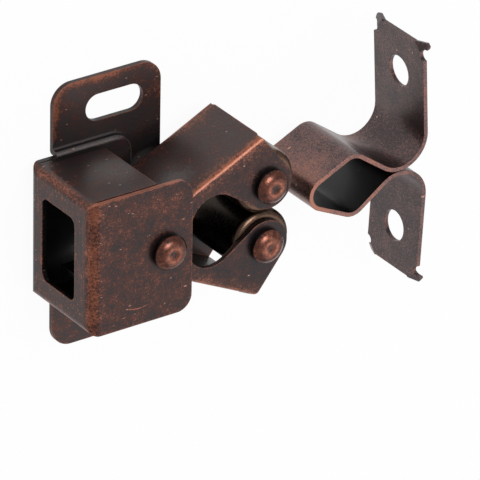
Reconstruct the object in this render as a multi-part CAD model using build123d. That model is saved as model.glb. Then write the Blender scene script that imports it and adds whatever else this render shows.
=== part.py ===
"""Double roller catch with its spear strike, in millimetres, +Z up.

The origin is on the mounting face, midway between the two screw slots.
+X points out of the catch's mouth towards the strike, +Y is across the plate
and the rivets stand along Z. Every piece is drawn closed, where it sits in
the photograph, with the strike just in front of the rollers.
"""
import os
from math import acos, asin, atan2, cos, degrees, hypot, pi, radians, sin, sqrt

from build123d import *

os.makedirs("parts", exist_ok=True)

# sheet steel of the housing and the two jaws
SHEET = 0.9

# ears: the flat plate that is screwed down, with one slot at each end
PLATE_BACK_X = -11.85
PLATE_FRONT_X = 9.05
PLATE_WIDTH = 48.0
PLATE_CORNER_R = 3.7
SLOT_LENGTH = 11.15
SLOT_WIDTH = 4.8
SLOT_INSET = 5.72

# pan: the middle of the plate, pressed up so that rivet tails clear the board
PAN_RISE = 1.2
PAN_WIDTH = 25.5
PAN_FRONT_X = 3.0
PAN_CORNER_R = 3.6
PAN_TOP_R = 0.75
PAN_FOOT_R = 0.4
PAN_MOUTH_R = 0.6

# body: back wall, cover and two side walls, folded from the same blank
BODY_WIDTH = 24.0
BODY_BACK_X = -16.65
BODY_TOP_Z = 19.7
TOP_BEND_R = 2.0
FOOT_BEND_R = 1.8
SIDE_BEND_R = 1.6
COVER_FRONT_X = 2.9
COVER_CORNER_R = 2.8
WALL_FRONT_X = -3.35
WALL_CORNER_R = 1.8
WALL_GAP = 0.3
WINDOW_WIDTH = 15.1
WINDOW_LOW_Z = 5.15
WINDOW_TOP_Z = 14.7
WINDOW_CORNER_R = 1.4

# pivot rivet
PIVOT_X = -1.9
PIVOT_R = 1.8
PIVOT_HEAD_R = 3.05
PIVOT_HEAD_H = 2.1
PIVOT_TAIL_R = 2.75
PIVOT_TAIL_H = 1.1

# jaws: C-shaped levers in plan, measured from the pivot, drawn for the +Y side
JAW_HEIGHT = 15.4
JAW_BEND_R = 1.0
JAW_COVER_GAP = 0.1
JAW_CHEEK_GAP = 0.05
WEB_ANGLE = 26.1
WEB_REACH = 5.06
WEB_REAR_X = 0.3
WEB_NOSE_LENGTH = 0.1
WEB_NOSE_HEIGHT = 14.0
WEB_NOSE_R = 1.2
CHEEK_TIP_X = 18.9
CHEEK_TIP_R = 0.8
CHEEK_END_R = 4.3
THROAT_X = 10.0
THROAT_Y = 2.05
THROAT_R = 4.75
THROAT_END_ANGLE = 195.0
HUB_R = 3.9

# tails behind the pivot, bent apart to take the spring between them
TAIL_HEIGHT = 10.0
TAIL_SEAT_Y = 6.0
TAIL_KNEE_X = -4.2
TAIL_END_X = -11.0
TAIL_BEND_R = 1.4
NIB_X = -8.2
NIB_R = 1.75
NIB_LENGTH = 1.2

# rollers and the rivets they turn on
ROLLER_X = 20.58
ROLLER_R = 5.65
ROLLER_RIM_R = 1.2
ROLLER_GAP = 0.1
ROLLER_END_GAP = 0.15
AXLE_R = 1.5
AXLE_HEAD_R = 3.0
AXLE_HEAD_H = 1.9
AXLE_TAIL_R = 2.6
AXLE_TAIL_H = 1.25

# compression spring between the tails
WIRE = 0.75
COIL_R = 2.9
COIL_TURNS = 5
COIL_END_PITCH = 0.8

# strike: one strip folded into a spear with two wings
STRIP = 0.75
STRIKE_HEIGHT = 14.0
STRIKE_LOW_Z = 3.3
NOSE_X = 30.75
NOSE_R = 3.05
NOSE_ANGLE = 25.5
CREST_X = 36.4
CREST_R = 3.2
NECK_X = 45.85
NECK_R = 4.8
NECK_GAP = 0.1
WING_ANGLE = 3.0
WING_SPAN = 43.8
STRIKE_HOLE_R = 2.72
STRIKE_HOLE_SPACING = 29.0
SPUR_LEG = 2.5
SPUR_LENGTH = 1.75
SPUR_ANGLE = 27.0
SPUR_TIP = 0.35
SPUR_NOTCH_R = 1.0
SPUR_NOTCH_DROP = 1.75

# clearances
RUNNING_FIT = 0.05
CLOSE_FIT = 0.01

# levels and positions that follow from the sizes above
pan_top_z = PAN_RISE + SHEET
cover_low_z = BODY_TOP_Z - SHEET
plate_length = PLATE_FRONT_X - PLATE_BACK_X
plate_mid_x = (PLATE_FRONT_X + PLATE_BACK_X) / 2
slot_spacing = PLATE_WIDTH - 2 * SLOT_INSET
upper_jaw_top = cover_low_z - JAW_COVER_GAP
lower_jaw_top = upper_jaw_top - SHEET - JAW_CHEEK_GAP
upper_jaw_low = upper_jaw_top - JAW_HEIGHT
lower_jaw_low = lower_jaw_top - JAW_HEIGHT
roller_y = ROLLER_R + ROLLER_GAP / 2
spring_z = (upper_jaw_low + lower_jaw_low + JAW_HEIGHT) / 2
strike_mid_z = STRIKE_LOW_Z + STRIKE_HEIGHT / 2


def at_angle(center, radius, angle):
    """Point on a circle, angle in degrees."""
    x = center[0] + radius * cos(radians(angle))
    y = center[1] + radius * sin(radians(angle))
    return (x, y)


def corners_near(shape, points):
    """The vertices of a sketch that lie nearest to some points."""
    found = []
    for x, y in points:
        ordered = shape.vertices().sort_by(lambda v: hypot(v.X - x, v.Y - y))
        found.append(ordered[0])
    return found


def prism(face, low_z, top_z):
    """A plan drawing raised between two heights."""
    return Pos(0, 0, low_z) * extrude(face, top_z - low_z)


def pan_face(inset):
    """Plan of the pan, its two front corners rounded."""
    front_x = PAN_FRONT_X - inset
    half = PAN_WIDTH / 2 - inset
    length = front_x - PLATE_BACK_X
    face = Pos(PLATE_BACK_X + length / 2, 0) * Rectangle(length, 2 * half)
    ends = corners_near(face, [(front_x, half), (front_x, -half)])
    return fillet(ends, PAN_CORNER_R - inset)


def base_plate():
    """Ears with slots, and the pan standing up in the middle."""
    outline = RectangleRounded(plate_length, PLATE_WIDTH, PLATE_CORNER_R)
    plate = prism(Pos(plate_mid_x, 0) * outline, 0, SHEET)
    pan = prism(pan_face(0), 0, pan_top_z)
    top_edges = pan.edges().filter_by_position(Axis.Z, pan_top_z - 0.01, pan_top_z + 0.01)
    top_edges = [e for e in top_edges if e.center().X > PLATE_BACK_X + 0.01]
    plate = plate + fillet(top_edges, PAN_TOP_R)

    # where the pan's wall meets the ears
    feet = plate.edges().filter_by_position(Axis.Z, SHEET - 0.01, SHEET + 0.01)
    feet = [e for e in feet if abs(e.center().Y) < PAN_WIDTH / 2 + 0.01]
    feet = [e for e in feet if PLATE_BACK_X + 0.01 < e.center().X < PAN_FRONT_X + 0.01]
    plate = fillet(feet, PAN_FOOT_R)

    # hollow below the pan, open at the rear
    plate = plate - prism(pan_face(SHEET), -1.0, PAN_RISE)
    lips = plate.edges().filter_by_position(Axis.Z, -0.01, 0.01)
    lips = [e for e in lips if abs(e.center().Y) < PAN_WIDTH / 2 - SHEET + 0.01]
    lips = [e for e in lips if PLATE_BACK_X + 0.01 < e.center().X < PAN_FRONT_X]
    plate = fillet(lips, PAN_MOUTH_R)

    slot = prism(SlotOverall(SLOT_LENGTH, SLOT_WIDTH), -1.0, SHEET + 1.0)
    for side in (-1, 1):
        plate = plate - Pos(0, side * slot_spacing / 2, 0) * slot
    return plate


def body_strip():
    """Base tongue, back wall and cover in one C, with rounded plan corners."""
    half = SHEET / 2
    path = FilletPolyline(
        (COVER_FRONT_X, BODY_TOP_Z - half),
        (BODY_BACK_X + half, BODY_TOP_Z - half),
        (BODY_BACK_X + half, PAN_RISE + half),
        (PLATE_BACK_X + 3.0, PAN_RISE + half),
        radius=[TOP_BEND_R - half, FOOT_BEND_R - half],
    )
    profile = Plane.XZ * trace(path, line_width=SHEET)
    strip = extrude(profile, BODY_WIDTH / 2, both=True)

    length = COVER_FRONT_X - BODY_BACK_X
    face = Pos(BODY_BACK_X + length / 2, 0) * Rectangle(length, BODY_WIDTH)
    side_y = BODY_WIDTH / 2
    front = corners_near(face, [(COVER_FRONT_X, side_y), (COVER_FRONT_X, -side_y)])
    face = fillet(front, COVER_CORNER_R)
    rear = corners_near(face, [(BODY_BACK_X, side_y), (BODY_BACK_X, -side_y)])
    face = fillet(rear, SIDE_BEND_R)
    return strip & prism(face, -1.0, BODY_TOP_Z + 1.0)


def side_walls():
    """Flanges folded forward from both edges of the back wall."""
    half = SHEET / 2
    side_y = BODY_WIDTH / 2 - half
    path = FilletPolyline(
        (WALL_FRONT_X, side_y),
        (BODY_BACK_X + half, side_y),
        (BODY_BACK_X + half, -side_y),
        (WALL_FRONT_X, -side_y),
        radius=SIDE_BEND_R - half,
    )
    low_z = pan_top_z + WALL_GAP
    walls = prism(trace(path, line_width=SHEET), low_z, cover_low_z - WALL_GAP)
    corners = walls.edges().filter_by(Axis.Y)
    corners = corners.filter_by_position(Axis.X, WALL_FRONT_X - 0.01, WALL_FRONT_X + 0.01)
    corners = corners.filter_by_position(Axis.Z, low_z - 0.01, low_z + 0.01)
    walls = fillet(corners, WALL_CORNER_R)

    # the back of the strip follows the folds to the cover and to the base
    length = COVER_FRONT_X - BODY_BACK_X
    height = BODY_TOP_Z - PAN_RISE
    side = Pos(BODY_BACK_X + length / 2, PAN_RISE + height / 2) * Rectangle(length, height)
    side = fillet(corners_near(side, [(BODY_BACK_X, BODY_TOP_Z)]), TOP_BEND_R)
    side = fillet(corners_near(side, [(BODY_BACK_X, PAN_RISE)]), FOOT_BEND_R)
    return walls & extrude(Plane.XZ * side, BODY_WIDTH / 2, both=True)


def housing():
    """The whole folded body: ears, pan, back wall, side walls and cover."""
    body = base_plate() + body_strip() + side_walls()
    window_height = WINDOW_TOP_Z - WINDOW_LOW_Z
    window_mid_z = (WINDOW_TOP_Z + WINDOW_LOW_Z) / 2
    window = RectangleRounded(WINDOW_WIDTH, window_height, WINDOW_CORNER_R)
    cutter = extrude(Plane.YZ * window, SHEET * 2, both=True)
    body = body - Pos(BODY_BACK_X, 0, window_mid_z) * cutter
    hole = Cylinder(PIVOT_R + CLOSE_FIT, BODY_TOP_Z * 3)
    return body - Pos(PIVOT_X, 0, 0) * hole


def rivet(shank_r, head_r, head_h, tail_r, tail_h, low_z, top_z):
    """Rivet with a domed, dimpled head above and a set tail below."""
    crown_r = head_r * 0.34
    dish_z = top_z + head_h * 0.86
    head_z = top_z + head_h
    foot_r = head_r - 0.35
    waist = (head_r - 0.08, top_z + head_h * 0.25)
    widest = (head_r, top_z + head_h * 0.5)
    haunch = (head_r * 0.76, top_z + head_h * 0.84)
    outline = [
        Line((0, low_z - tail_h), (tail_r - 0.25, low_z - tail_h)),
        Line((tail_r - 0.25, low_z - tail_h), (tail_r, low_z - tail_h + 0.35)),
        Line((tail_r, low_z - tail_h + 0.35), (tail_r, low_z)),
        Line((tail_r, low_z), (shank_r, low_z)),
        Line((shank_r, low_z), (shank_r, top_z)),
        Line((shank_r, top_z), (foot_r, top_z)),
        ThreePointArc((foot_r, top_z), waist, widest),
        ThreePointArc(widest, haunch, (crown_r, head_z)),
        Line((crown_r, head_z), (0, dish_z)),
        Line((0, dish_z), (0, low_z - tail_h)),
    ]
    return revolve(Plane.XZ * make_face(outline), Axis.Z)


def cheek_face():
    """Plan outline of a jaw's cheek, the pivot at the origin."""
    end = (ROLLER_X, roller_y)
    throat = (THROAT_X, THROAT_Y)
    lean = radians(WEB_ANGLE)
    tip_y = (WEB_REACH + CHEEK_TIP_X * sin(lean)) / cos(lean)
    rear_y = (WEB_REACH + WEB_REAR_X * sin(lean)) / cos(lean)
    tip = (CHEEK_TIP_X, tip_y)
    rear = (WEB_REAR_X, rear_y)

    # front edge: from the tip, tangent to the rounded end
    span = hypot(end[0] - tip[0], end[1] - tip[1])
    heading = degrees(atan2(end[1] - tip[1], end[0] - tip[0]))
    front_angle = heading + degrees(asin(CHEEK_END_R / span)) + 90
    front = at_angle(end, CHEEK_END_R, front_angle)

    # inner edge: tangent to the rounded end and, on its other side, the throat
    span = hypot(throat[0] - end[0], throat[1] - end[1])
    heading = degrees(atan2(throat[1] - end[1], throat[0] - end[0])) % 360
    inner_angle = heading + degrees(acos((CHEEK_END_R + THROAT_R) / span))
    inner = at_angle(end, CHEEK_END_R, inner_angle)
    throat_top = at_angle(throat, THROAT_R, inner_angle - 180)
    throat_end = at_angle(throat, THROAT_R, THROAT_END_ANGLE)

    # hub: a round about the pivot, met by two tangents
    reach = hypot(*throat_end)
    hub_front_angle = degrees(atan2(throat_end[1], throat_end[0]) - acos(HUB_R / reach))
    hub_front = at_angle((0, 0), HUB_R, hub_front_angle)
    reach = hypot(*rear)
    hub_rear_angle = degrees(atan2(rear[1], rear[0]) + acos(HUB_R / reach))
    hub_rear = at_angle((0, 0), HUB_R, hub_rear_angle)

    outline = [
        Line(rear, tip),
        Line(tip, front),
        CenterArc(end, CHEEK_END_R, front_angle, inner_angle - 360 - front_angle),
        Line(inner, throat_top),
        CenterArc(throat, THROAT_R, inner_angle - 180, THROAT_END_ANGLE - inner_angle + 180),
        Line(throat_end, hub_front),
        CenterArc((0, 0), HUB_R, hub_front_angle, hub_rear_angle - 360 - hub_front_angle),
        Line(hub_rear, rear),
    ]
    face = make_face(outline)
    return fillet(corners_near(face, [tip]), CHEEK_TIP_R)


def jaw(low_z):
    """One jaw for the +Y side: two cheeks, web, front nose and spring tail."""
    top_z = low_z + JAW_HEIGHT
    mid_z = low_z + JAW_HEIGHT / 2
    half = SHEET / 2
    lean = radians(WEB_ANGLE)
    along = Vector(cos(lean), sin(lean), 0)
    across = Vector(-sin(lean), cos(lean), 0)

    # folded channel, cut to the cheeks' outline
    web_mid = WEB_REACH - half
    path = FilletPolyline(
        (web_mid - 22, top_z - half),
        (web_mid, top_z - half),
        (web_mid, low_z + half),
        (web_mid - 22, low_z + half),
        radius=JAW_BEND_R - half,
    )
    start = Plane(origin=along * -10, x_dir=across, z_dir=along)
    channel = extrude(start * trace(path, line_width=SHEET), 45)
    body = channel & prism(cheek_face(), low_z - 1, top_z + 1)

    # the web runs on past the cheeks at the front, with rounded corners
    nose_end = CHEEK_TIP_X / cos(lean) + WEB_REACH * sin(lean) / cos(lean) + WEB_NOSE_LENGTH
    nose_length = WEB_NOSE_LENGTH + WEB_NOSE_R + 2
    nose = Pos(nose_end - nose_length / 2, mid_z) * Rectangle(nose_length, WEB_NOSE_HEIGHT)
    nose_corners = corners_near(
        nose,
        [(nose_end, mid_z + WEB_NOSE_HEIGHT / 2), (nose_end, mid_z - WEB_NOSE_HEIGHT / 2)],
    )
    nose = fillet(nose_corners, WEB_NOSE_R)
    outside = Plane(origin=across * WEB_REACH, x_dir=along, z_dir=across * -1)
    face_up = outside.y_dir.Z
    if face_up < 0:
        nose = mirror(nose, Plane.XZ)
    body = body + extrude(outside * nose, SHEET)

    # tail: a tongue of the web, bent outwards and then straight again
    web_y = (web_mid + WEB_REAR_X * sin(lean)) / cos(lean)
    overlap_x = WEB_REAR_X + 3
    overlap_y = (web_mid + overlap_x * sin(lean)) / cos(lean)
    tail_path = FilletPolyline(
        (overlap_x, overlap_y),
        (WEB_REAR_X, web_y),
        (TAIL_KNEE_X, TAIL_SEAT_Y + half),
        (TAIL_END_X, TAIL_SEAT_Y + half),
        radius=TAIL_BEND_R,
    )
    tail = prism(trace(tail_path, line_width=SHEET), mid_z - TAIL_HEIGHT / 2, mid_z + TAIL_HEIGHT / 2)
    body = body + tail
    nib = Rot(90, 0, 0) * Cylinder(NIB_R, NIB_LENGTH + half)
    nib_y = TAIL_SEAT_Y - NIB_LENGTH / 2 + half / 2
    body = body + Pos(NIB_X, nib_y, spring_z) * nib

    body = body - Cylinder(PIVOT_R + RUNNING_FIT, 60)
    body = body - Pos(ROLLER_X, roller_y, 0) * Cylinder(AXLE_R + CLOSE_FIT, 60)
    return Pos(PIVOT_X, 0, 0) * body


def roller(jaw_low_z):
    """Plain roller with rounded rims, for the +Y side."""
    length = JAW_HEIGHT - 2 * SHEET - 2 * ROLLER_END_GAP
    wheel = Cylinder(ROLLER_R, length)
    wheel = fillet(wheel.edges().filter_by(GeomType.CIRCLE), ROLLER_RIM_R)
    wheel = wheel - Cylinder(AXLE_R + RUNNING_FIT, length * 2)
    mid_z = jaw_low_z + JAW_HEIGHT / 2
    return Pos(PIVOT_X + ROLLER_X, roller_y, mid_z) * wheel


def roller_rivet(jaw_low_z):
    """The rivet a roller turns on, set through both cheeks of a jaw."""
    top_z = jaw_low_z + JAW_HEIGHT
    pin = rivet(AXLE_R, AXLE_HEAD_R, AXLE_HEAD_H, AXLE_TAIL_R, AXLE_TAIL_H, jaw_low_z, top_z)
    return Pos(PIVOT_X + ROLLER_X, roller_y, 0) * pin


def spring():
    """Compression coil with closed, ground ends, its axis along Y."""
    half_length = TAIL_SEAT_Y - CLOSE_FIT
    reach = TAIL_SEAT_Y - WIRE / 4
    open_pitch = (2 * reach - 2 * COIL_END_PITCH) / COIL_TURNS
    steps = 12
    turns = COIL_TURNS + 2
    points = []
    height = -reach
    for step in range(turns * steps + 1):
        turn = step / steps
        points.append((COIL_R * cos(2 * pi * turn), COIL_R * sin(2 * pi * turn), height))
        closed = turn + 0.5 / steps < 1 or turn + 0.5 / steps > turns - 1
        height = height + (COIL_END_PITCH if closed else open_pitch) / steps
    path = Spline(*points)
    section = Plane(origin=path @ 0, z_dir=path % 0) * Circle(WIRE / 2)
    coil = sweep(section, path=path, is_frenet=True)
    coil = coil & Cylinder(COIL_R * 2, 2 * half_length)
    return Pos(PIVOT_X + NIB_X, 0, spring_z) * Rot(90, 0, 0) * coil


def strike_face():
    """Plan of the strike's strip: nose, crest, neck and wing, one half mirrored."""
    half = STRIP / 2
    nose_r = NOSE_R - half
    crest_r = CREST_R - half
    neck_r = NECK_R + half
    tilt = radians(NOSE_ANGLE)
    nose = (NOSE_X, 0)
    crest_y = (CREST_X - NOSE_X) * sin(tilt) / cos(tilt) + (nose_r - crest_r) / cos(tilt)
    crest = (CREST_X, crest_y)
    neck = (NECK_X, neck_r + half + NECK_GAP / 2)

    # rear flank: tangent to the crest on one side and the neck on the other
    span = hypot(neck[0] - crest[0], neck[1] - crest[1])
    slope = atan2(neck[1] - crest[1], neck[0] - crest[0])
    flank_angle = degrees(asin((crest_r + neck_r) / span) - slope)

    front_normal = 90 + NOSE_ANGLE
    rear_normal = 90 - flank_angle
    neck_start = rear_normal + 180
    wing_start = at_angle(neck, neck_r, WING_ANGLE)
    wing_length = (WING_SPAN / 2 - wing_start[1]) / cos(radians(WING_ANGLE))
    wing_end = at_angle(wing_start, wing_length, 90 + WING_ANGLE)

    path = Curve() + [
        CenterArc(nose, nose_r, 180, front_normal - 180),
        Line(at_angle(nose, nose_r, front_normal), at_angle(crest, crest_r, front_normal)),
        CenterArc(crest, crest_r, front_normal, rear_normal - front_normal),
        Line(at_angle(crest, crest_r, rear_normal), at_angle(neck, neck_r, neck_start)),
        CenterArc(neck, neck_r, neck_start, 360 + WING_ANGLE - neck_start),
        Line(wing_start, wing_end),
    ]
    upper = trace(path, line_width=STRIP)
    return upper + mirror(upper, Plane.XZ), wing_end


def spur(corner, up_y, up_z):
    """The corner of a wing, bent back along a diagonal to bite the door."""
    lean = radians(WING_ANGLE)
    outward = Vector(-sin(lean), up_y * cos(lean), 0)
    back = Vector(cos(lean), up_y * sin(lean), 0)
    diagonal = (outward + Vector(0, 0, up_z)).normalized()
    middle = corner - diagonal * (SPUR_LEG / sqrt(2))
    bend = radians(SPUR_ANGLE)

    side = Plane(origin=middle, x_dir=diagonal, z_dir=diagonal.cross(back))
    knuckle = (STRIP * sin(bend), -STRIP * cos(bend))
    end = (SPUR_LENGTH * cos(bend), SPUR_LENGTH * sin(bend))
    halfway = (STRIP * sin(bend / 2), -STRIP * cos(bend / 2))
    profile = make_face([
        Line((0, 0), (-0.8, 0)),
        Line((-0.8, 0), (-0.8, -STRIP)),
        Line((-0.8, -STRIP), (0, -STRIP)),
        ThreePointArc((0, -STRIP), halfway, knuckle),
        Line(knuckle, (knuckle[0] + end[0], knuckle[1] + end[1])),
        Line((knuckle[0] + end[0], knuckle[1] + end[1]), end),
        Line(end, (0, 0)),
    ])
    half_fold = SPUR_LEG / sqrt(2)
    bent = extrude(side * profile, half_fold, both=True)

    tongue = diagonal * cos(bend) + back * sin(bend)
    fold = diagonal.cross(back)
    plate = Plane(origin=middle, x_dir=fold, z_dir=fold.cross(tongue))
    outline = Polygon(
        (-half_fold, -2),
        (half_fold, -2),
        (half_fold, 0),
        (SPUR_TIP, SPUR_LENGTH),
        (-SPUR_TIP, SPUR_LENGTH),
        (-half_fold, 0),
        align=None,
    )
    trimmer = extrude(plate * outline, 3, both=True)

    waste_plane = Plane(origin=middle, x_dir=diagonal, z_dir=back)
    waste = Pos(SPUR_LEG, 0, 0) * Box(2 * SPUR_LEG, 3 * SPUR_LEG, 3 * STRIP)
    waste = waste_plane.location * waste
    return bent & trimmer, waste


def strike():
    """Spear strike with screw holes, spurs and their side notches."""
    face, wing_end = strike_face()
    body = prism(face, STRIKE_LOW_Z, STRIKE_LOW_Z + STRIKE_HEIGHT)
    lean = radians(WING_ANGLE)
    hole = Rot(0, 90, 0) * Cylinder(STRIKE_HOLE_R, 12)
    notch = Rot(0, 90, 0) * Cylinder(SPUR_NOTCH_R, 12)
    notch_y = WING_SPAN / 2 - SPUR_NOTCH_DROP
    for side in (-1, 1):
        body = body - Pos(wing_end[0], side * STRIKE_HOLE_SPACING / 2, strike_mid_z) * hole
        for end in (-1, 1):
            edge_z = strike_mid_z + end * STRIKE_HEIGHT / 2
            corner = Vector(
                wing_end[0] + STRIP / 2 * cos(lean),
                side * (wing_end[1] + STRIP / 2 * sin(lean)),
                edge_z,
            )
            bent, waste = spur(corner, side, end)
            body = body - waste
            body = body + bent
            body = body - Pos(wing_end[0], side * notch_y, edge_z) * notch
    return body


def other_side(shape):
    """The same piece for the -Y side."""
    return mirror(shape, Plane.XZ)


def save(shape, name):
    """Write one piece under its own name."""
    solid = shape.solid() if len(shape.solids()) == 1 else shape
    solid.label = name
    export_step(solid, os.path.join("parts", name + ".step"))


pivot_pin = rivet(
    PIVOT_R,
    PIVOT_HEAD_R,
    PIVOT_HEAD_H,
    PIVOT_TAIL_R,
    PIVOT_TAIL_H,
    PAN_RISE,
    BODY_TOP_Z,
)

save(housing(), "housing")
save(Pos(PIVOT_X, 0, 0) * pivot_pin, "pivot_rivet")
save(jaw(upper_jaw_low), "upper_jaw")
save(other_side(jaw(lower_jaw_low)), "lower_jaw")
save(roller(upper_jaw_low), "upper_roller")
save(other_side(roller(lower_jaw_low)), "lower_roller")
save(roller_rivet(upper_jaw_low), "upper_roller_rivet")
save(other_side(roller_rivet(lower_jaw_low)), "lower_roller_rivet")
save(spring(), "spring")
save(strike(), "strike")
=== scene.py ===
import math

import bpy
from mathutils import Matrix, Vector


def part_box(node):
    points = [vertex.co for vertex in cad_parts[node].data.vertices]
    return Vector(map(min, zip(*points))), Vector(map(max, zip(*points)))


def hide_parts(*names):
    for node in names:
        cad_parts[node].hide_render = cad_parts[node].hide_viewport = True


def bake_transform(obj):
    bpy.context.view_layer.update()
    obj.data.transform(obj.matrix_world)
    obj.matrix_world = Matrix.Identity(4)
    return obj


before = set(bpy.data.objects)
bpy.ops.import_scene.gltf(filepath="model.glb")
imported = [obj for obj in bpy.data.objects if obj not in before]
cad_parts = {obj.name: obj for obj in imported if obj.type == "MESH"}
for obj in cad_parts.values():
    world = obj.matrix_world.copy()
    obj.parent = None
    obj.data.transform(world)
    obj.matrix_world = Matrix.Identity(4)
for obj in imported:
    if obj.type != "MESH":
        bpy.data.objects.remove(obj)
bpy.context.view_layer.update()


# Housing: one blank of thin steel sheet, punched, folded round itself and
# then plated with copper that is blackened and rubbed back. The plating is
# darkest on flats and in corners, where painted shade deepens the black, and
# shows red copper on edges and folds.

# masks and patterns are laid out in millimetres, Blender's own lengths in metres
MM = 0.001


def put(tree, kind, **settings):
    """Add a shader node and set its plain properties."""
    made = tree.nodes.new(kind)
    for name, value in settings.items():
        setattr(made, name, value)
    return made


def wire(tree, *pairs):
    """Join sockets in pairs, or set a socket where a plain value is given."""
    for source, target in pairs:
        if isinstance(source, bpy.types.NodeSocket):
            tree.links.new(source, target)
        else:
            target.default_value = source


def sums(tree, operation, first, second=None, third=None, clamp=False):
    """One Math node; returns its result."""
    made = put(tree, "ShaderNodeMath", operation=operation, use_clamp=clamp)
    for value, target in zip((first, second, third), made.inputs):
        if value is not None:
            wire(tree, (value, target))
    return made.outputs[0]


def times(tree, first, *others):
    """Several masks multiplied together."""
    for other in others:
        first = sums(tree, "MULTIPLY", first, other)
    return first


def plus(tree, level, mask, amount):
    """A level with some amount of a mask added to it."""
    return sums(tree, "MULTIPLY_ADD", mask, amount, level)


def apart(tree, across, along):
    """Straight distance from its two parts at right angles."""
    squares = sums(tree, "MULTIPLY_ADD", across, across, sums(tree, "MULTIPLY", along, along))
    return sums(tree, "SQRT", squares)


def stretch(tree, value, low, high, to_low=0.0, to_high=1.0):
    """Map one range smoothly onto another."""
    made = put(tree, "ShaderNodeMapRange", interpolation_type="SMOOTHSTEP")
    wire(tree, (value, made.inputs["Value"]), (low, made.inputs["From Min"]))
    wire(tree, (high, made.inputs["From Max"]), (to_low, made.inputs["To Min"]))
    wire(tree, (to_high, made.inputs["To Max"]))
    return made.outputs["Result"]


def mix_colour(tree, factor, first, second):
    """Blend two colours."""
    made = put(tree, "ShaderNodeMix", data_type="RGBA")
    wire(tree, (factor, made.inputs[0]), (first, made.inputs[6]), (second, made.inputs[7]))
    return made.outputs[2]


def speckle(tree, vector, size, detail=2.0, roughness=0.6):
    """Noise from 0 to 1 whose lumps are about as wide as the size."""
    made = put(tree, "ShaderNodeTexNoise")
    scale = sums(tree, "DIVIDE", 1.0, size)
    wire(tree, (vector, made.inputs["Vector"]), (scale, made.inputs["Scale"]))
    wire(tree, (detail, made.inputs["Detail"]), (roughness, made.inputs["Roughness"]))
    return made.outputs["Fac"]


def group_of(title, inputs, outputs):
    """A new shader node group with named sockets, and the sockets that its nodes are wired to."""
    kinds = {"v": "NodeSocketVector", "c": "NodeSocketColor", "f": "NodeSocketFloat"}
    group = bpy.data.node_groups.new(title, "ShaderNodeTree")
    for name, (kind, start) in inputs.items():
        socket = group.interface.new_socket(name, in_out="INPUT", socket_type=kinds[kind])
        if start is not None:
            socket.default_value = start
    for name, kind in outputs.items():
        group.interface.new_socket(name, in_out="OUTPUT", socket_type=kinds[kind])
    return group, put(group, "NodeGroupInput").outputs, put(group, "NodeGroupOutput").inputs


def use_group(tree, group, **values):
    """Place a shader node group, wire or set its inputs by name and return its outputs."""
    used = put(tree, "ShaderNodeGroup", node_tree=group)
    for title, value in values.items():
        wire(tree, (value, used.inputs[title.replace("_", " ").title()]))
    return used.outputs


def nicks_group():
    """Sparse bright nicks: short strokes in two directions where the plating is knocked off."""
    group, given, result = group_of(
        "nicks in plating",
        {"Vector": ("v", None), "Spacing": ("f", 2.4), "Share": ("f", 0.4)},
        {"Mask": "f"},
    )
    found = None
    for angle, shift in ((35, 0.0), (-50, 40.0)):
        turned = put(group, "ShaderNodeMapping")
        turned.inputs["Rotation"].default_value = (0.3, 0.2, math.radians(angle))
        turned.inputs["Location"].default_value = (shift, shift, shift)
        turned.inputs["Scale"].default_value = (0.38, 1.0, 1.0)
        wire(group, (given["Vector"], turned.inputs["Vector"]))
        cells = put(group, "ShaderNodeTexVoronoi")
        scale = sums(group, "DIVIDE", 1.0, given["Spacing"])
        wire(group, (turned.outputs[0], cells.inputs["Vector"]), (scale, cells.inputs["Scale"]))
        pick = put(group, "ShaderNodeSeparateColor")
        wire(group, (cells.outputs["Color"], pick.inputs[0]))
        chosen = sums(group, "LESS_THAN", pick.outputs[0], given["Share"])
        reach = sums(group, "MULTIPLY_ADD", pick.outputs[1], 0.07, 0.06)
        near = stretch(group, cells.outputs["Distance"], reach, times(group, reach, 0.5))
        spot = times(group, near, chosen)
        found = spot if found is None else sums(group, "MAXIMUM", found, spot)
    wire(group, (found, result["Mask"]))
    return group


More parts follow.
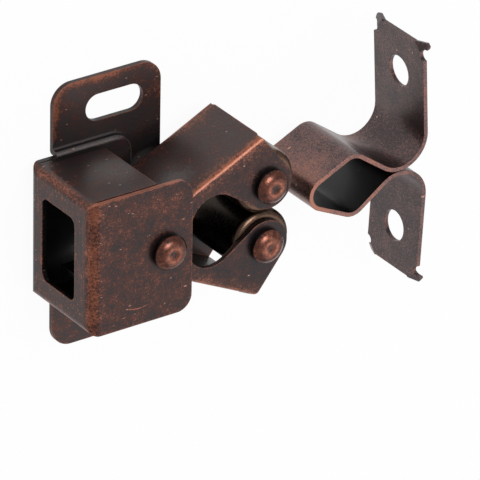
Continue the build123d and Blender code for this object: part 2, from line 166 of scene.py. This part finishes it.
def aged_copper_group(nicks):
    """Copper plating blackened, then rubbed back: one level of wear picks soot, brown or copper."""
    group, given, result = group_of(
        "aged copper plating",
        {
            "Vector": ("v", None),
            "Soot Colour": ("c", None),
            "Brown Colour": ("c", None),
            "Copper Colour": ("c", None),
            "Patch Size": ("f", 3.5),
            "Grain Size": ("f", 0.65),
            "Fine Grain": ("f", 0.7),
            "Contrast": ("f", 1.0),
            "Wear": ("f", 0.0),
            "Edge Width": ("f", 0.7),
            "Edge Wear": ("f", 0.5),
            "Edge Line": ("f", 0.5),
            # Soot Reach and Soot set the occlusion darkening: partly black oxide, partly painted shade
            "Soot Reach": ("f", 1.0),
            "Soot": ("f", 0.7),
            "Nicks": ("f", 0.4),
            "Nick Spacing": ("f", 2.4),
            "Roughness": ("f", 0.50),
        },
        {"Colour": "c", "Roughness": "f", "Height": "f", "Normal": "v"},
    )
    vector = given["Vector"]
    patch = speckle(group, vector, given["Patch Size"], 3.0, 0.6)
    grain = speckle(group, vector, given["Grain Size"], 3.0, 0.7)
    fine = speckle(group, vector, times(group, given["Grain Size"], 0.5), 1.0, 0.5)

    # open edges, where a rounded normal leaves the true one: a broad band and a thin line
    true_normal = put(group, "ShaderNodeNewGeometry").outputs["Normal"]
    corners = []
    thin_line = 0.2
    for width in (given["Edge Width"], thin_line):
        rounded = put(group, "ShaderNodeBevel", samples=4)
        wire(group, (times(group, width, MM), rounded.inputs["Radius"]))
        turn = put(group, "ShaderNodeVectorMath", operation="DOT_PRODUCT")
        wire(group, (rounded.outputs[0], turn.inputs[0]), (true_normal, turn.inputs[1]))
        corners.append(sums(group, "SUBTRACT", 1.0, turn.outputs["Value"]))
    # occlusion: darker in corners and round the feet of heads, partly black oxide and partly painted
    # shade
    hollow = put(group, "ShaderNodeAmbientOcclusion", samples=4)
    wire(group, (times(group, given["Soot Reach"], MM), hollow.inputs["Distance"]))
    # a wide occlusion finds the deep hollows, for the near-black painted shade in them
    cavern = put(group, "ShaderNodeAmbientOcclusion", samples=4)
    cavern.inputs["Distance"].default_value = 12 * MM
    shelter = sums(group, "SUBTRACT", 1.0, hollow.outputs["AO"])
    open_air = stretch(group, shelter, 0.45, 0.1)
    edge = times(group, stretch(group, corners[0], 0.01, 0.16), given["Edge Wear"])
    edge = plus(group, edge, stretch(group, corners[1], 0.02, 0.14), given["Edge Line"])
    edge = times(group, edge, open_air, stretch(group, grain, 0.3, 0.6, 0.5, 1.0))

    # one level of wear: soot at 0, brown about the middle, bare copper from 1 up
    middle = 0.44
    texture = 0.0
    for noise, share in ((patch, 1.1), (grain, 1.4), (fine, given["Fine Grain"])):
        texture = plus(group, texture, sums(group, "SUBTRACT", noise, 0.5), share)
    level = plus(group, middle, texture, given["Contrast"])
    level = sums(group, "ADD", sums(group, "ADD", level, given["Wear"]), edge)
    # the occlusion darkening lowers the level: partly black oxide, partly painted shade
    soot_and_shade_mask = times(group, stretch(group, shelter, 0.1, 0.8), given["Soot"])
    level = sums(group, "SUBTRACT", level, soot_and_shade_mask)
    chip = use_group(group, nicks, vector=vector, spacing=given["Nick Spacing"], share=given["Nicks"])
    knocked = times(group, chip["Mask"], open_air, stretch(group, level, -0.8, -0.3))

    colour = mix_colour(
        group, stretch(group, level, 0.05, 0.62), given["Soot Colour"], given["Brown Colour"]
    )
    colour = mix_colour(group, stretch(group, level, 0.52, 1.5), colour, given["Copper Colour"])

    # deep hollows are made near black, partly unrubbed black oxide and partly painted shade, and nicks
    # show fresh copper
    black_oxide_and_shade = (0.035, 0.034, 0.034, 1)
    fresh_copper = (0.62, 0.34, 0.26, 1)
    outside = stretch(group, cavern.outputs["AO"], 0.02, 0.35)
    colour = mix_colour(
        group, times(group, outside, stretch(group, level, -0.9, -0.2)), black_oxide_and_shade, colour
    )
    colour = mix_colour(group, times(group, knocked, 0.75), colour, fresh_copper)

    rough = plus(group, given["Roughness"], sums(group, "SUBTRACT", grain, 0.5), 0.30)
    rough = sums(group, "MULTIPLY_ADD", soot_and_shade_mask, 0.15, rough, clamp=True)
    height = plus(group, times(group, fine, 0.4), grain, 0.6)
    height = plus(group, height, chip["Mask"], -0.5)
    wire(group, (colour, result["Colour"]), (rough, result["Roughness"]))
    wire(group, (height, result["Height"]), (rounded.outputs[0], result["Normal"]))
    return group


aged_copper = aged_copper_group(nicks_group())


def copper_material(name, colours, bump=0.25, lacquer=0.3, wear=None, painted_sheen=None, **amounts):
    """A finish of aged copper; wear returns a mask of extra rubbing, and the sheen mask paints grey
    reflection into the colours.
    """
    material = bpy.data.materials.new(name)
    material.use_nodes = True
    tree = material.node_tree
    shader = tree.nodes["Principled BSDF"]
    place = put(tree, "ShaderNodeTexCoord").outputs
    scaled = put(tree, "ShaderNodeMapping")
    scaled.inputs["Scale"].default_value = (1 / MM,) * 3
    wire(tree, (place["Object"], scaled.inputs["Vector"]))
    spot = {"Vector": scaled.outputs[0]}
    facing = {"Vector": place["Normal"]}
    for whole in (spot, facing):
        parts = put(tree, "ShaderNodeSeparateXYZ")
        wire(tree, (whole["Vector"], parts.inputs[0]))
        whole.update({axis: parts.outputs[axis] for axis in "XYZ"})

    soot, brown, copper = [(*colour, 1) for colour in colours]
    # painted sheen: grey painted reflection mixed into the soot, and half as much into the brown
    if painted_sheen:
        painted_sheen_grey = (0.170, 0.145, 0.140, 1)
        painted_sheen_mask = painted_sheen(tree, spot, facing)
        soot = mix_colour(tree, painted_sheen_mask, soot, painted_sheen_grey)
        brown = mix_colour(tree, times(tree, painted_sheen_mask, 0.5), brown, painted_sheen_grey)
    if wear:
        amounts["wear"] = wear(tree, spot, facing)
    amounts.update(vector=spot["Vector"], soot_colour=soot, brown_colour=brown, copper_colour=copper)
    plating = use_group(tree, aged_copper, **amounts)
    relief = put(tree, "ShaderNodeBump")
    relief.inputs["Strength"].default_value = bump
    relief.inputs["Distance"].default_value = 0.1 * MM
    wire(tree, (plating["Height"], relief.inputs["Height"]))
    wire(tree, (plating["Normal"], relief.inputs["Normal"]))
    wire(tree, (plating["Colour"], shader.inputs["Base Color"]))
    wire(tree, (plating["Roughness"], shader.inputs["Roughness"]))
    wire(tree, (relief.outputs[0], shader.inputs["Normal"]))
    shader.inputs["Metallic"].default_value = 1.0
    shader.inputs["Coat Weight"].default_value = lacquer
    shader.inputs["Coat Roughness"].default_value = 0.22
    return material


def dress(node, material):
    """Give a CAD node its finish."""
    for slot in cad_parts[node].material_slots:
        slot.material = material


def box_of(node):
    """Lowest and highest corner of a CAD node in millimetres."""
    return [Vector(corner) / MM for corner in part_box(node)]


housing_low, housing_high = box_of("housing")
BODY_HALF_WIDTH = 12.0
PLATE_BACK_X = -11.85
PLATE_CORNER_R = 3.7
EARS_BELOW_Z = 3.2
# centre of the painted highlight spot on each side wall, X and Z in millimetres
PAINTED_HIGHLIGHT_SPOT = (-6.0, 11.0)


def fold_band(tree, facing, first, second, reach, face_share, round_share):
    """Rubbed fold: all of its round, and a fading band of the flats beside it."""
    widest = 0.0
    for axis in "XYZ":
        widest = sums(tree, "MAXIMUM", sums(tree, "ABSOLUTE", facing[axis]), widest)
    away = sums(tree, "MAXIMUM", first, second)
    turned = times(tree, stretch(tree, widest, 0.99, 0.85), sums(tree, "LESS_THAN", away, reach))
    return plus(tree, times(tree, turned, round_share), stretch(tree, away, reach, 0.2), face_share)


def from_outline(tree, x, y, half_x, half_y, radius):
    """Distance from the outline of a rounded rectangle about the middle, less than nothing inside."""
    over_x = sums(tree, "SUBTRACT", sums(tree, "ABSOLUTE", x), half_x - radius)
    over_y = sums(tree, "SUBTRACT", sums(tree, "ABSOLUTE", y), half_y - radius)
    outside = apart(tree, sums(tree, "MAXIMUM", over_x, 0.0), sums(tree, "MAXIMUM", over_y, 0.0))
    within = sums(tree, "MINIMUM", sums(tree, "MAXIMUM", over_x, over_y), 0.0)
    return sums(tree, "ADD", sums(tree, "SUBTRACT", outside, radius), within)


def streaks(tree, spot, scales, size):
    """Brushed lines, long on the axis whose scale is small; from -0.5 to 0.5."""
    line = put(tree, "ShaderNodeCombineXYZ")
    for axis, amount in zip("XYZ", scales):
        wire(tree, (times(tree, spot[axis], amount), line.inputs[axis]))
    return sums(tree, "SUBTRACT", speckle(tree, line.outputs[0], size), 0.5)


def scratch(tree, spot, centre, radius, start_x, end_x):
    """Mask of a thin curved scratch on the cover, part of a circle between two places along X."""
    fade = 0.8
    off_x = sums(tree, "SUBTRACT", spot["X"], centre[0])
    off_y = sums(tree, "SUBTRACT", spot["Y"], centre[1])
    gap = sums(tree, "ABSOLUTE", sums(tree, "SUBTRACT", apart(tree, off_x, off_y), radius))
    return times(
        tree,
        stretch(tree, gap, 0.13, 0.03),
        stretch(tree, spot["X"], start_x, start_x + fade),
        stretch(tree, spot["X"], end_x, end_x - fade),
        sums(tree, "LESS_THAN", off_y, 0.0),
        stretch(tree, spot["Z"], housing_high.z - 0.2, housing_high.z - 0.05),
    )


def housing_wear_and_shade(tree, spot, facing):
    """Where hands, brush and die rubbed the housing, where the black stayed, and where painted shade
    darkens it beside the pan and inside.
    """
    wide = sums(tree, "ABSOLUTE", spot["Y"])
    from_back = sums(tree, "SUBTRACT", spot["X"], housing_low.x)
    from_top = sums(tree, "SUBTRACT", housing_high.z, spot["Z"])
    from_side = sums(tree, "SUBTRACT", BODY_HALF_WIDTH, wide)
    top_fold = fold_band(tree, facing, from_back, from_top, 3.4, 0.38, 0.28)
    side_fold = fold_band(tree, facing, from_back, from_side, 3.0, 0.18, 0.25)
    worn = sums(tree, "MAXIMUM", top_fold, side_fold)

    # the cover's cut edge beside the side wall is bare, and the ears' rims are rubbed all round
    cut = stretch(tree, sums(tree, "ABSOLUTE", facing["Z"]), 0.8, 0.4)
    on_cover = stretch(tree, from_top, 1.0, 0.8)
    worn = plus(tree, worn, times(tree, on_cover, cut, stretch(tree, from_side, 0.5, 0.1)), 0.9)
    middle_x = (housing_high.x + PLATE_BACK_X) / 2
    half_x = housing_high.x - middle_x
    half_y = housing_high.y
    along = sums(tree, "SUBTRACT", spot["X"], middle_x)
    from_rim = from_outline(tree, along, spot["Y"], half_x, half_y, PLATE_CORNER_R)
    rim = times(
        tree,
        stretch(tree, from_rim, -1.7, -0.1),
        stretch(tree, facing["Z"], 0.3, 0.8),
        stretch(tree, spot["X"], 9.0, -9.0, 0.4, 1.0),
        stretch(tree, spot["Y"], -13.0, 13.0, 0.2, 1.0),
        stretch(tree, wide, 13.2, 15.0),
        stretch(tree, spot["Z"], 3.0, 2.0),
    )
    worn = plus(tree, worn, rim, 0.75)

    # painted shade darkens the ears next to the pan; the near ear (towards -Y) is a little darker, the
    # low cut edges stay lighter, and the inside is made near black
    low = stretch(tree, spot["Z"], 3.5, 3.0)
    worn = plus(tree, worn, times(tree, stretch(tree, wide, 19.0, 14.5), low), -0.35)
    worn = plus(tree, worn, times(tree, low, cut, stretch(tree, wide, 13.0, 13.5)), 0.15)
    worn = plus(tree, worn, stretch(tree, spot["Y"], -13.0, -14.0), -0.12)
    # the inside is painted near black: partly unrubbed black oxide, partly painted shade
    inside = times(
        tree,
        stretch(tree, from_back, 0.4, 0.6),
        stretch(tree, from_side, 0.4, 0.5),
        stretch(tree, from_top, 0.4, 0.5),
        stretch(tree, sums(tree, "ADD", from_back, from_top), 1.4, 1.6),
        stretch(tree, sums(tree, "ADD", from_back, from_side), 1.3, 1.5),
        stretch(tree, spot["X"], -1.0, -3.5),
    )
    worn = plus(tree, worn, inside, -1.3)

    # the back wall is brushed across, the side walls lengthways
    behind = stretch(tree, facing["X"], -0.9, -0.99)
    worn = plus(tree, worn, behind, -0.02)
    worn = plus(tree, worn, times(tree, streaks(tree, spot, (1.0, 0.05, 1.0), 0.45), behind), 1.3)
    beside = stretch(tree, sums(tree, "ABSOLUTE", facing["Y"]), 0.9, 0.99)
    worn = plus(tree, worn, beside, -0.15)
    worn = plus(tree, worn, times(tree, streaks(tree, spot, (0.12, 1.0, 1.0), 0.4), beside), 1.5)

    # the long scratch on the cover, as three arcs: centre, radius, and where each starts and ends
    for centre, radius, start_x, end_x in (
        ((-7.3, -2.2), 6.8, -9.9, -5.5),
        ((-10.4, -4.0), 5.98, -11.0, -9.5),
        ((-12.6, -7.0), 3.8, -12.9, -11.6),
    ):
        worn = sums(tree, "ADD", worn, scratch(tree, spot, centre, radius, start_x, end_x))
    return worn


def housing_painted_sheen(tree, spot, facing):
    """Painted sheen, a grey painted reflection: on the ears, strongest as a painted highlight on the
    pan's pressed rim, in a brighter painted highlight spot on each side wall, and in fine lines on the
    back wall."""
    wide = sums(tree, "ABSOLUTE", spot["Y"])
    rim = times(tree, stretch(tree, wide, 11.8, 12.1), stretch(tree, spot["Z"], 1.0, 1.3))
    ears = plus(tree, stretch(tree, wide, 11.0, 13.0, 0.1, 0.22), rim, 0.45)
    far_ear = stretch(tree, spot["Y"], -13.0, -11.0, 0.35, 1.0)
    above_ears = stretch(tree, spot["Z"], EARS_BELOW_Z, EARS_BELOW_Z + 0.4)
    on_ears = sums(tree, "SUBTRACT", 1.0, above_ears)
    sheen = times(tree, ears, far_ear, on_ears, stretch(tree, facing["Z"], 0.1, 0.5))

    off_x = sums(tree, "SUBTRACT", spot["X"], PAINTED_HIGHLIGHT_SPOT[0])
    off_z = sums(tree, "SUBTRACT", spot["Z"], PAINTED_HIGHLIGHT_SPOT[1])
    # painted highlight: a brighter spot of painted reflection in the middle of each side wall
    painted_highlight_spot = stretch(tree, apart(tree, off_x, off_z), 6.5, 0.5, 0.65, 1.6)
    upright = stretch(tree, sums(tree, "ABSOLUTE", facing["Y"]), 0.7, 0.95, 0.0, 0.36)
    sheen = plus(tree, sheen, times(tree, upright, above_ears), painted_highlight_spot)
    lines = stretch(tree, streaks(tree, spot, (1.0, 0.04, 1.0), 0.35), 0.02, 0.2, 0.0, 0.16)
    return plus(tree, sheen, lines, stretch(tree, facing["X"], -0.9, -0.99))


housing_plating = copper_material(
    "housing aged copper",
    colours=((0.030, 0.025, 0.026), (0.075, 0.030, 0.023), (0.37, 0.125, 0.070)),
    patch_size=2.4,
    grain_size=0.5,
    edge_wear=0.3,
    edge_line=0.8,
    soot_reach=1.8,
    soot=0.8,
    nick_spacing=1.05,
    nicks=0.7,
    contrast=1.25,
    wear=housing_wear_and_shade,
    painted_sheen=housing_painted_sheen,
)
dress("housing", housing_plating)


# Pivot rivet: a soft steel rivet set through cover, jaws and pan. Its domed
# head is rubbed down to copper, and keeps a small dimple from the set.


def rivet_head_group():
    """Wear of a rivet's head: dome rubbed, most in a ring, and dark in the dimple and under the rim."""
    group, given, result = group_of(
        "rivet head wear",
        {
            "Spot": ("v", None),
            "Facing": ("v", None),
            "Centre X": ("f", 0.0),
            "Centre Y": ("f", 0.0),
        },
        {"Wear": "f"},
    )
    spot = put(group, "ShaderNodeSeparateXYZ")
    facing = put(group, "ShaderNodeSeparateXYZ")
    wire(group, (given["Spot"], spot.inputs[0]), (given["Facing"], facing.inputs[0]))
    off_x = sums(group, "SUBTRACT", spot.outputs["X"], given["Centre X"])
    off_y = sums(group, "SUBTRACT", spot.outputs["Y"], given["Centre Y"])
    from_axis = apart(group, off_x, off_y)
    dome = stretch(group, facing.outputs["Z"], 0.0, 0.7, -0.3, 0.12)
    ring = times(group, stretch(group, from_axis, 0.75, 1.1), stretch(group, from_axis, 1.7, 1.2))
    worn = plus(group, dome, ring, 0.25)
    worn = plus(group, worn, stretch(group, from_axis, 1.0, 0.3), -0.35)
    wire(group, (worn, result["Wear"]))
    return group


rivet_head = rivet_head_group()


def rivet_finish(node):
    """Finish of one rivet, worn round its own axis."""
    low, high = box_of(node)
    axis = (low + high) / 2
    place = {"centre_x": axis.x, "centre_y": axis.y}

    def head_wear(tree, spot, facing):
        masks = use_group(tree, rivet_head, spot=spot["Vector"], facing=facing["Vector"], **place)
        return masks["Wear"]

    finish = copper_material(
        node + " copper",
        colours=((0.040, 0.026, 0.024), (0.150, 0.052, 0.034), (0.50, 0.175, 0.10)),
        grain_size=0.9,
        contrast=0.8,
        edge_wear=0.1,
        edge_line=0.2,
        lacquer=0.25,
        roughness=0.30,
        nicks=0.2,
        wear=head_wear,
    )
    dress(node, finish)


rivet_finish("pivot_rivet")


# Spring: a coil of plain spring wire between the jaws' tails, oiled and dark.
# It closes up when the jaws open, and is built as two halves wound from the middle in opposite
# directions.
spring_wire = copper_material(
    "spring wire steel",
    colours=((0.03, 0.03, 0.03), (0.12, 0.12, 0.12), (0.30, 0.29, 0.28)),
    nicks=0.0,
)


def half_coil_nodes():
    """Geometry nodes that wind half a compression spring: open turns, then a closed end turn."""
    tree = bpy.data.node_groups.new("half coil", "GeometryNodeTree")
    for title, kind in (
        ("Coil Radius", "NodeSocketFloat"),
        ("Wire Radius", "NodeSocketFloat"),
        ("Open Turns", "NodeSocketFloat"),
        ("Open Pitch", "NodeSocketFloat"),
        ("Closed Pitch", "NodeSocketFloat"),
        ("Side", "NodeSocketFloat"),
        ("Steel", "NodeSocketMaterial"),
    ):
        tree.interface.new_socket(title, in_out="INPUT", socket_type=kind)
    tree.interface.new_socket("Coil", in_out="OUTPUT", socket_type="NodeSocketGeometry")
    given = put(tree, "NodeGroupInput").outputs
    line = put(tree, "GeometryNodeCurvePrimitiveLine")
    line.inputs["End"].default_value = (0, 1, 0)
    steps_per_turn = 40
    all_turns = sums(tree, "ADD", given["Open Turns"], 1.0)
    steps = put(tree, "GeometryNodeResampleCurve")
    points = sums(tree, "MULTIPLY_ADD", all_turns, steps_per_turn, 1.0)
    wire(tree, (line.outputs[0], steps.inputs["Curve"]), (points, steps.inputs["Count"]))

    # turns wound so far at each point, and the height and angle that they give
    along = put(tree, "GeometryNodeSplineParameter").outputs["Factor"]
    wound = times(tree, along, all_turns)
    opened = sums(tree, "MINIMUM", wound, given["Open Turns"])
    closed = sums(tree, "MAXIMUM", sums(tree, "SUBTRACT", wound, given["Open Turns"]), 0.0)
    height = plus(tree, times(tree, opened, given["Open Pitch"]), closed, given["Closed Pitch"])
    angle = times(tree, wound, given["Side"], 2.0 * math.pi)
    place = put(tree, "ShaderNodeCombineXYZ")
    wire(
        tree,
        (times(tree, sums(tree, "COSINE", angle), given["Coil Radius"]), place.inputs["X"]),
        (times(tree, height, given["Side"]), place.inputs["Y"]),
        (times(tree, sums(tree, "SINE", angle), given["Coil Radius"]), place.inputs["Z"]),
    )
    bent = put(tree, "GeometryNodeSetPosition")
    wire(tree, (steps.outputs[0], bent.inputs["Geometry"]), (place.outputs[0], bent.inputs["Position"]))
    section = put(tree, "GeometryNodeCurvePrimitiveCircle")
    section.inputs["Resolution"].default_value = 12
    wire(tree, (given["Wire Radius"], section.inputs["Radius"]))
    drawn = put(tree, "GeometryNodeCurveToMesh")
    drawn.inputs["Fill Caps"].default_value = True
    wire(tree, (bent.outputs[0], drawn.inputs["Curve"]))
    wire(tree, (section.outputs[0], drawn.inputs["Profile Curve"]))
    whole = put(tree, "GeometryNodeRealizeInstances")
    steel = put(tree, "GeometryNodeSetMaterial")
    wire(tree, (drawn.outputs[0], whole.inputs[0]), (whole.outputs[0], steel.inputs["Geometry"]))
    wire(tree, (given["Steel"], steel.inputs["Material"]))
    wire(tree, (steel.outputs[0], put(tree, "NodeGroupOutput").inputs[0]))
    return tree


half_coil = half_coil_nodes()
sockets = {item.name: item.identifier for item in half_coil.interface.items_tree}
coil_values = {
    "Coil Radius": 2.9 * MM,
    "Wire Radius": 0.375 * MM,
    "Open Turns": 2.5,
    "Open Pitch": 1.77 * MM,
    "Closed Pitch": 0.8 * MM,
    "Steel": spring_wire,
}
spring_low, spring_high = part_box("spring")
spring_middle = (Vector(spring_low) + Vector(spring_high)) / 2.0
for title, side, jaw in (
    ("spring_upper_half", 1.0, "upper_jaw"),
    ("spring_lower_half", -1.0, "lower_jaw"),
):
    blank = bpy.data.objects.new("blank", bpy.data.meshes.new("blank"))
    bpy.context.scene.collection.objects.link(blank)
    maker = blank.modifiers.new("coil", "NODES")
    maker.node_group = half_coil
    for name, value in {**coil_values, "Side": side}.items():
        maker[sockets[name]] = value
    bpy.context.view_layer.update()
    made = blank.evaluated_get(bpy.context.evaluated_depsgraph_get())
    coil_mesh = bpy.data.meshes.new_from_object(made)
    bpy.data.objects.remove(blank)
    coil_mesh.transform(Matrix.Translation(spring_middle))
    coil_mesh.shade_smooth()
    coil = bpy.data.objects.new(title, coil_mesh)
    bpy.context.scene.collection.objects.link(coil)
    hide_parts("spring")
    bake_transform(coil)


# Jaws: two levers folded from the same sheet as the housing and plated with
# it. The web of each carries a grey painted reflection, and its folds are rubbed bright.
WEB_ANGLE = 26.1
WEB_FROM_PIVOT = 5.06
PAINTED_SHEEN_SPOT = (4.0, 13.2)


def jaw_masks_group():
    """Wear and painted sheen of a jaw: folds rubbed, a grey painted reflection on the web with a
    brighter spot, and painted shade towards and behind the pivot.
    """
    group, given, result = group_of(
        "jaw wear and sheen",
        {
            "Spot": ("v", None),
            "Facing": ("v", None),
            "Side": ("f", 1.0),
            "Pivot X": ("f", 0.0),
            "Middle Z": ("f", 0.0),
            "Half Height": ("f", 1.0),
        },
        {"Wear": "f", "Sheen": "f"},
    )
    parts = put(group, "ShaderNodeSeparateXYZ")
    turns = put(group, "ShaderNodeSeparateXYZ")
    wire(group, (given["Spot"], parts.inputs[0]), (given["Facing"], turns.inputs[0]))
    spot = parts.outputs
    lean = math.radians(WEB_ANGLE)
    along = times(group, sums(group, "SUBTRACT", spot["X"], given["Pivot X"]), -math.sin(lean))
    sideways = plus(group, along, times(group, spot["Y"], given["Side"]), math.cos(lean))
    from_web = sums(group, "SUBTRACT", WEB_FROM_PIVOT, sideways)
    from_middle = sums(group, "ABSOLUTE", sums(group, "SUBTRACT", spot["Z"], given["Middle Z"]))
    from_cheek = sums(group, "SUBTRACT", given["Half Height"], from_middle)
    from_fold = sums(group, "MAXIMUM", from_web, from_cheek)
    along_z = sums(group, "ABSOLUTE", turns.outputs["Z"])
    turned = times(
        group,
        stretch(group, along_z, 0.05, 0.4),
        stretch(group, along_z, 0.995, 0.9),
        sums(group, "LESS_THAN", from_fold, 2.2),
    )
    worn = plus(group, times(group, turned, 0.4), stretch(group, from_fold, 3.2, 0.2), 0.38)

    # a painted grey reflection on the web: brighter in a spot near the cover, with darker plating under
    # it
    off_x = sums(group, "SUBTRACT", spot["X"], PAINTED_SHEEN_SPOT[0])
    off_z = sums(group, "SUBTRACT", spot["Z"], PAINTED_SHEEN_SPOT[1])
    blot = stretch(group, apart(group, off_x, off_z), 4.5, 0.5)
    worn = plus(group, worn, blot, -0.45)
    # painted shade: the jaw darkens towards and behind the pivot, under the cover
    worn = plus(group, worn, stretch(group, spot["X"], 1.0, -3.0), -1.1)
    # the grey painted reflection lies on the upright faces, the web most of all
    sheen = times(group, plus(group, 0.36, blot, 0.5), stretch(group, along_z, 0.3, 0.1))
    wire(group, (worn, result["Wear"]), (sheen, result["Sheen"]))
    return group


jaw_masks = jaw_masks_group()


def jaw_finish(node, side, tone):
    """Finish of one jaw: its web is towards +Y or -Y, and tone makes all of it more or less worn."""
    low, high = box_of(node)
    pivot_low, pivot_high = box_of("pivot_rivet")
    place = {
        "side": side,
        "pivot_x": (pivot_low.x + pivot_high.x) / 2,
        "middle_z": (low.z + high.z) / 2,
        "half_height": (high.z - low.z) / 2,
    }

    def masks(tree, spot, facing):
        return use_group(tree, jaw_masks, spot=spot["Vector"], facing=facing["Vector"], **place)

    def jaw_wear_and_shade(tree, spot, facing):
        return sums(tree, "ADD", masks(tree, spot, facing)["Wear"], tone)

    def jaw_painted_sheen(tree, spot, facing):
        return masks(tree, spot, facing)["Sheen"]

    finish = copper_material(
        node + " aged copper",
        colours=((0.027, 0.023, 0.025), (0.066, 0.030, 0.025), (0.44, 0.16, 0.095)),
        grain_size=0.5,
        soot_reach=1.8,
        soot=0.8,
        nick_spacing=1.2,
        nicks=0.25,
        edge_wear=0.3,
        edge_line=0.8,
        wear=jaw_wear_and_shade,
        painted_sheen=jaw_painted_sheen,
    )
    dress(node, finish)


jaw_finish("upper_jaw", 1.0, 0.0)
jaw_finish("lower_jaw", -1.0, -0.14)


# Rollers and their rivets: turned steel rollers with rounded rims, plated
# darker than the sheet, each running on a rivet like the pivot's.
rollers_middle_z = (box_of("lower_roller")[0].z + box_of("upper_roller")[1].z) / 2


def roller_wear_and_shade(tree, spot, facing):
    """The rims show worn brown; the barrel between them is painted dark as shade, where it sits between
    the jaw's cheeks.
    """
    from_middle = sums(tree, "ABSOLUTE", sums(tree, "SUBTRACT", spot["Z"], rollers_middle_z))
    return stretch(tree, from_middle, 4.5, 6.4, -0.35, 0.34)


roller_plating = copper_material(
    "roller dark plating",
    colours=((0.031, 0.023, 0.019), (0.090, 0.054, 0.037), (0.36, 0.20, 0.12)),
    bump=0.06,
    contrast=0.25,
    soot=0.35,
    lacquer=0.1,
    edge_wear=0.3,
    edge_line=0.1,
    wear=roller_wear_and_shade,
    nicks=0.0,
    roughness=0.28,
)
dress("upper_roller", roller_plating)
dress("lower_roller", roller_plating)
rivet_finish("upper_roller_rivet")
rivet_finish("lower_roller_rivet")


# Strike: one strip folded into a hollow spear head and two wings, with a
# punched hole in each wing and its corners bent back as spurs. Its plating
# is thinner and more even, a matte pinkish brown with copper cut edges.
WINGS_FROM_X = 46.0


def strike_wear_and_shade(tree, spot, facing):
    """Cut edges and the nose show copper; the wings are painted darker as shade; the inward faces of
    the hollow head are made near black.
    """
    cut = stretch(tree, sums(tree, "ABSOLUTE", facing["Z"]), 0.8, 0.98)
    nose = stretch(tree, spot["X"], 34.0, 28.5)
    inward = times(tree, sums(tree, "SIGN", spot["Y"]), facing["Y"])
    in_head = stretch(tree, spot["X"], WINGS_FROM_X + 1.5, WINGS_FROM_X)
    hollow = times(tree, stretch(tree, inward, -0.05, -0.3), in_head)
    worn = plus(tree, times(tree, cut, 0.38), nose, 0.5)
    # painted shade: the wings are made darker
    worn = plus(tree, worn, stretch(tree, spot["X"], WINGS_FROM_X, WINGS_FROM_X + 3.0), -0.26)
    return plus(tree, worn, hollow, -1.6)


strike_plating = copper_material(
    "strike aged copper",
    colours=((0.058, 0.044, 0.045), (0.160, 0.094, 0.088), (0.38, 0.16, 0.11)),
    contrast=1.1,
    grain_size=0.45,
    patch_size=5.0,
    fine_grain=1.4,
    edge_wear=0.15,
    edge_line=0.45,
    lacquer=0.25,
    nicks=0.3,
    roughness=0.40,
    wear=strike_wear_and_shade,
)
dress("strike", strike_plating)


# Studio: a pale floor under the catch, a broad panel beyond it that the top
# faces mirror, a softbox overhead for the highlights and a dim grey room.
floor_mesh = bpy.data.meshes.new("floor")
FLOOR_HALF = 3.0
FLOOR_Z = -0.05 * MM
corners = [
    (side_x * FLOOR_HALF, side_y * FLOOR_HALF, FLOOR_Z)
    for side_x, side_y in ((-1, -1), (1, -1), (1, 1), (-1, 1))
]
floor_mesh.from_pydata(corners, [], [(0, 1, 2, 3)])
floor = bpy.data.objects.new("floor", floor_mesh)
bpy.context.scene.collection.objects.link(floor)

floor_white = bpy.data.materials.new("studio floor")
floor_white.use_nodes = True
tree = floor_white.node_tree
tree.nodes.clear()
matte = put(tree, "ShaderNodeBsdfDiffuse")
matte.inputs["Color"].default_value = (0.85, 0.85, 0.85, 1)
glow = put(tree, "ShaderNodeEmission")
glow.inputs["Color"].default_value = (1, 1, 1, 1)
path = put(tree, "ShaderNodeLightPath").outputs
seen = sums(tree, "MAXIMUM", path["Is Camera Ray"], path["Is Glossy Ray"])
seen = sums(tree, "MAXIMUM", seen, path["Is Transmission Ray"])
share = put(tree, "ShaderNodeMixShader")
wire(tree, (times(tree, seen, 0.95), share.inputs[0]))
wire(tree, (matte.outputs[0], share.inputs[1]), (glow.outputs[0], share.inputs[2]))
wire(tree, (share.outputs[0], put(tree, "ShaderNodeOutputMaterial").inputs[0]))
floor_mesh.materials.append(floor_white)

room = bpy.data.worlds.new("studio room")
room.use_nodes = True
room_light = room.node_tree.nodes["Background"].inputs
room_light["Color"].default_value = (0.92, 0.95, 1.0, 1)
room_light["Strength"].default_value = 0.50
bpy.context.scene.world = room


def soft_lamp(name, direction, distance, size, radiance):
    """A square soft lamp in one direction from the catch, turned to look at it."""
    lamp = bpy.data.lights.new(name, "AREA")
    lamp.size = size
    lamp.energy = radiance * size * size * math.pi
    holder = bpy.data.objects.new(name, lamp)
    aim = Vector((0.015, 0.0, 0.010))
    holder.location = aim + Vector(direction).normalized() * distance
    holder.rotation_euler = (aim - holder.location).to_track_quat("-Z", "Y").to_euler()
    bpy.context.scene.collection.objects.link(holder)


soft_lamp("far panel", (0.50, -0.47, 0.72), 1.2, 1.2, 0.85)
soft_lamp("overhead softbox", (0.0, 0.42, 0.93), 1.0, 0.4, 8.5)

# Camera: far away with a long lens, rolled so that the plate stands upright
# in the picture, as in the photograph.
lens = bpy.data.cameras.new("camera")
PHOTO_WIDTH_PX = 480.0
FOCAL_LENGTH_PX = 6694.9
lens.sensor_width = 36.0
lens.lens = lens.sensor_width * FOCAL_LENGTH_PX / PHOTO_WIDTH_PX
lens.clip_start = 0.1
lens.clip_end = 10.0
camera = bpy.data.objects.new("camera", lens)
right = Vector((0.825169, 0.016979, 0.564630))
down = Vector((-0.253686, -0.881944, 0.397265))
forward = Vector((0.504717, -0.471049, -0.723445))
stand = Matrix.Translation((-0.537419, 0.510880, 0.807620))
camera.matrix_world = stand @ Matrix((right, -down, -forward)).transposed().to_4x4()
bpy.context.scene.collection.objects.link(camera)
bpy.context.scene.camera = camera
bpy.context.scene.view_settings.view_transform = "Standard"
